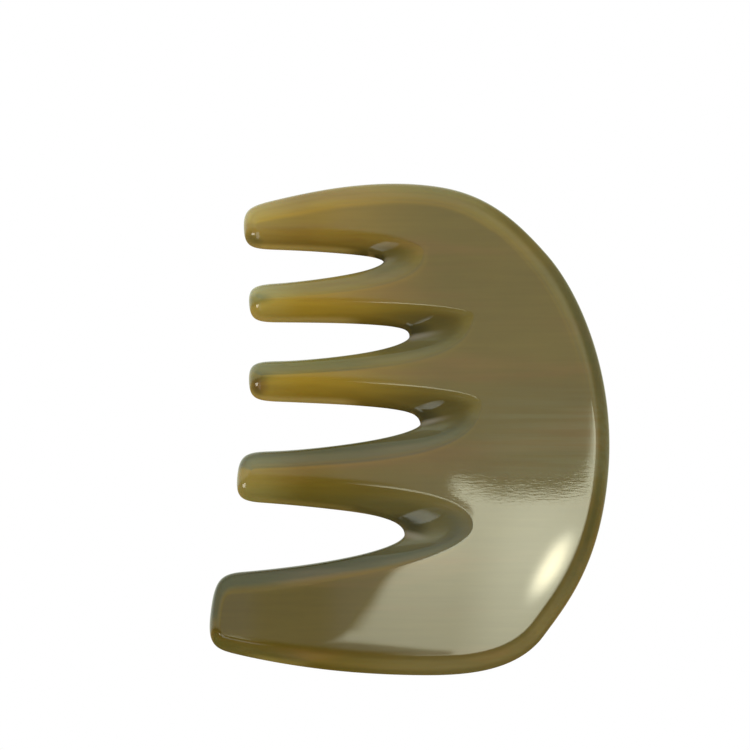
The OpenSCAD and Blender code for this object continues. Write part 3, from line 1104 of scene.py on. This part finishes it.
def make_panel(name, chart, full, colour, strength):
    """A card in the sky whose light is full over the given share of its width."""
    chart = np.array(chart, float)
    middle = chart.mean(axis=0)
    inner = sky_points(middle + full * (chart - middle))
    make_card(name, sky_points(chart), inner, glowing_material(name, colour, strength))


def make_world(studio):
    """Light from all around. The camera sees plain white, and the comb's colour is lit by an
    even dome. What the comb mirrors goes by direction: shade over a warm floor on the camera's
    side, and on the far side the ceiling overhead, a warm glow, the wall and its dark foot, one
    below the other, with a soft light in the wall beyond the tips and a dark wall at the back."""
    world = bpy.data.worlds.new("studio")
    bpy.context.scene.world = world
    paint = Paint(world)
    ramp, product, mix = paint.ramp, paint.product, paint.mix
    way = paint.add("ShaderNodeTexCoord").outputs["Generated"]
    toward_back, toward_far, upward = paint.split(way)
    past_horizon = ramp(upward, 0.15, -0.15)
    light = mix(ramp(toward_back, -0.02, -0.12), studio.ceiling_colour, studio.far_ceiling_colour)
    for share, colour in (
        (ramp(upward, 0.958, 0.93), studio.glow_colour),
        (ramp(upward, 0.925, 0.78), studio.wall_colour),
        (ramp(upward, 0.6, 0.25), studio.skirting_colour),
        (product(ramp(toward_back, -0.5, -0.8), ramp(upward, -0.3, 0.1)), studio.window_colour),
        (past_horizon, studio.far_floor_colour),
        (product(ramp(toward_back, 0.1, 0.45), ramp(upward, 0.75, 0.4)), studio.end_colour),
    ):
        light = mix(share, light, colour)
    near_light = mix(past_horizon, studio.shade_colour, studio.floor_colour)
    light = mix(ramp(toward_far, 0.1, 0.22), near_light, light)
    ray = paint.add("ShaderNodeLightPath").outputs
    colour = mix(ray["Is Glossy Ray"], (studio.dome_strength,) * 3, light)
    colour = mix(ray["Is Camera Ray"], colour, WHITE[:3])
    ground = paint.add("ShaderNodeBackground", Color=colour, Strength=1.0)
    paint.finish(ground, "ShaderNodeOutputWorld")


def make_camera():
    """The camera at the photograph's angle and scale."""
    scene = bpy.context.scene
    lift = math.radians(CAMERA_ELEVATION)
    aim = Vector((*drawn_to_part(*AIM), scene.comb_shape.thickness / 2))
    back = Vector((0, -math.cos(lift), math.sin(lift)))
    data = bpy.data.cameras.new("camera")
    data.type = "PERSP"
    data.sensor_width = SENSOR_WIDTH
    data.lens = SENSOR_WIDTH * CAMERA_DISTANCE / (FRAME_PIXELS / PIXELS_PER_MM * MM)
    camera = bpy.data.objects.new("camera", data)
    scene.collection.objects.link(camera)
    camera.location = aim + CAMERA_DISTANCE * back
    camera.rotation_euler = back.to_track_quat("Z", "Y").to_euler()
    scene.camera = camera
    return camera


class MakeComb(bpy.types.Operator):
    """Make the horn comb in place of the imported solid"""

    bl_idname = "massage_comb.make_comb"
    bl_label = "Make the comb"

    def execute(self, context):
        points, faces, marks = comb_surface(context.scene.comb_shape)
        comb = new_mesh_object("horn_comb", points, faces, True)
        flank = comb.data.attributes.new("flank", "FLOAT_VECTOR", "POINT")
        flank.data.foreach_set("vector", marks.ravel())
        comb.data.materials.append(horn_material(context.scene.horn_finish))
        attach(comb, "root")
        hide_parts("comb")
        return {"FINISHED"}


class MakeStage(bpy.types.Operator):
    """Make the floor, the lights and the camera"""

    bl_idname = "massage_comb.make_stage"
    bl_label = "Make the stage"

    def execute(self, context):
        scene = context.scene
        studio = scene.studio_light
        camera = make_camera()
        make_world(studio)
        make_floor()
        make_softbox(studio, camera.location, scene.comb_shape.thickness)
        make_panel("side_panel", SIDE_PANEL, SIDE_FULL, studio.side_colour, studio.side_strength)
        make_panel("tip_lamp", TIP_LAMP, LAMP_FULL, studio.glint_colour, studio.glint_strength)
        scene.view_settings.view_transform = "Standard"
        scene.view_settings.look = "None"
        return {"FINISHED"}


class CombPanel(bpy.types.Panel):
    """Sizes, finish and studio of the comb"""

    bl_idname = "VIEW3D_PT_massage_comb"
    bl_label = "Scalp massage comb"
    bl_space_type = "VIEW_3D"
    bl_region_type = "UI"
    bl_category = "Comb"

    def draw(self, context):
        scene = context.scene
        for group in (scene.comb_shape, scene.horn_finish, scene.studio_light):
            box = self.layout.box()
            for name in group.__annotations__:
                box.prop(group, name)
        self.layout.operator(MakeComb.bl_idname)
        self.layout.operator(MakeStage.bl_idname)


CLASSES = (CombShape, HornFinish, StudioLight, MakeComb, MakeStage, CombPanel)


def register():
    for cls in CLASSES:
        bpy.utils.register_class(cls)
    bpy.types.Scene.comb_shape = PointerProperty(type=CombShape)
    bpy.types.Scene.horn_finish = PointerProperty(type=HornFinish)
    bpy.types.Scene.studio_light = PointerProperty(type=StudioLight)


def unregister():
    del bpy.types.Scene.studio_light
    del bpy.types.Scene.horn_finish
    del bpy.types.Scene.comb_shape
    for cls in reversed(CLASSES):
        bpy.utils.unregister_class(cls)


def main():
    register()
    bpy.ops.massage_comb.make_comb()
    bpy.ops.massage_comb.make_stage()
    boxes = {"cad": cad_box, "visual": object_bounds()}
    lists = {name: [list(corner) for corner in box] for name, box in boxes.items()}


if __name__ == "__main__":
    main()
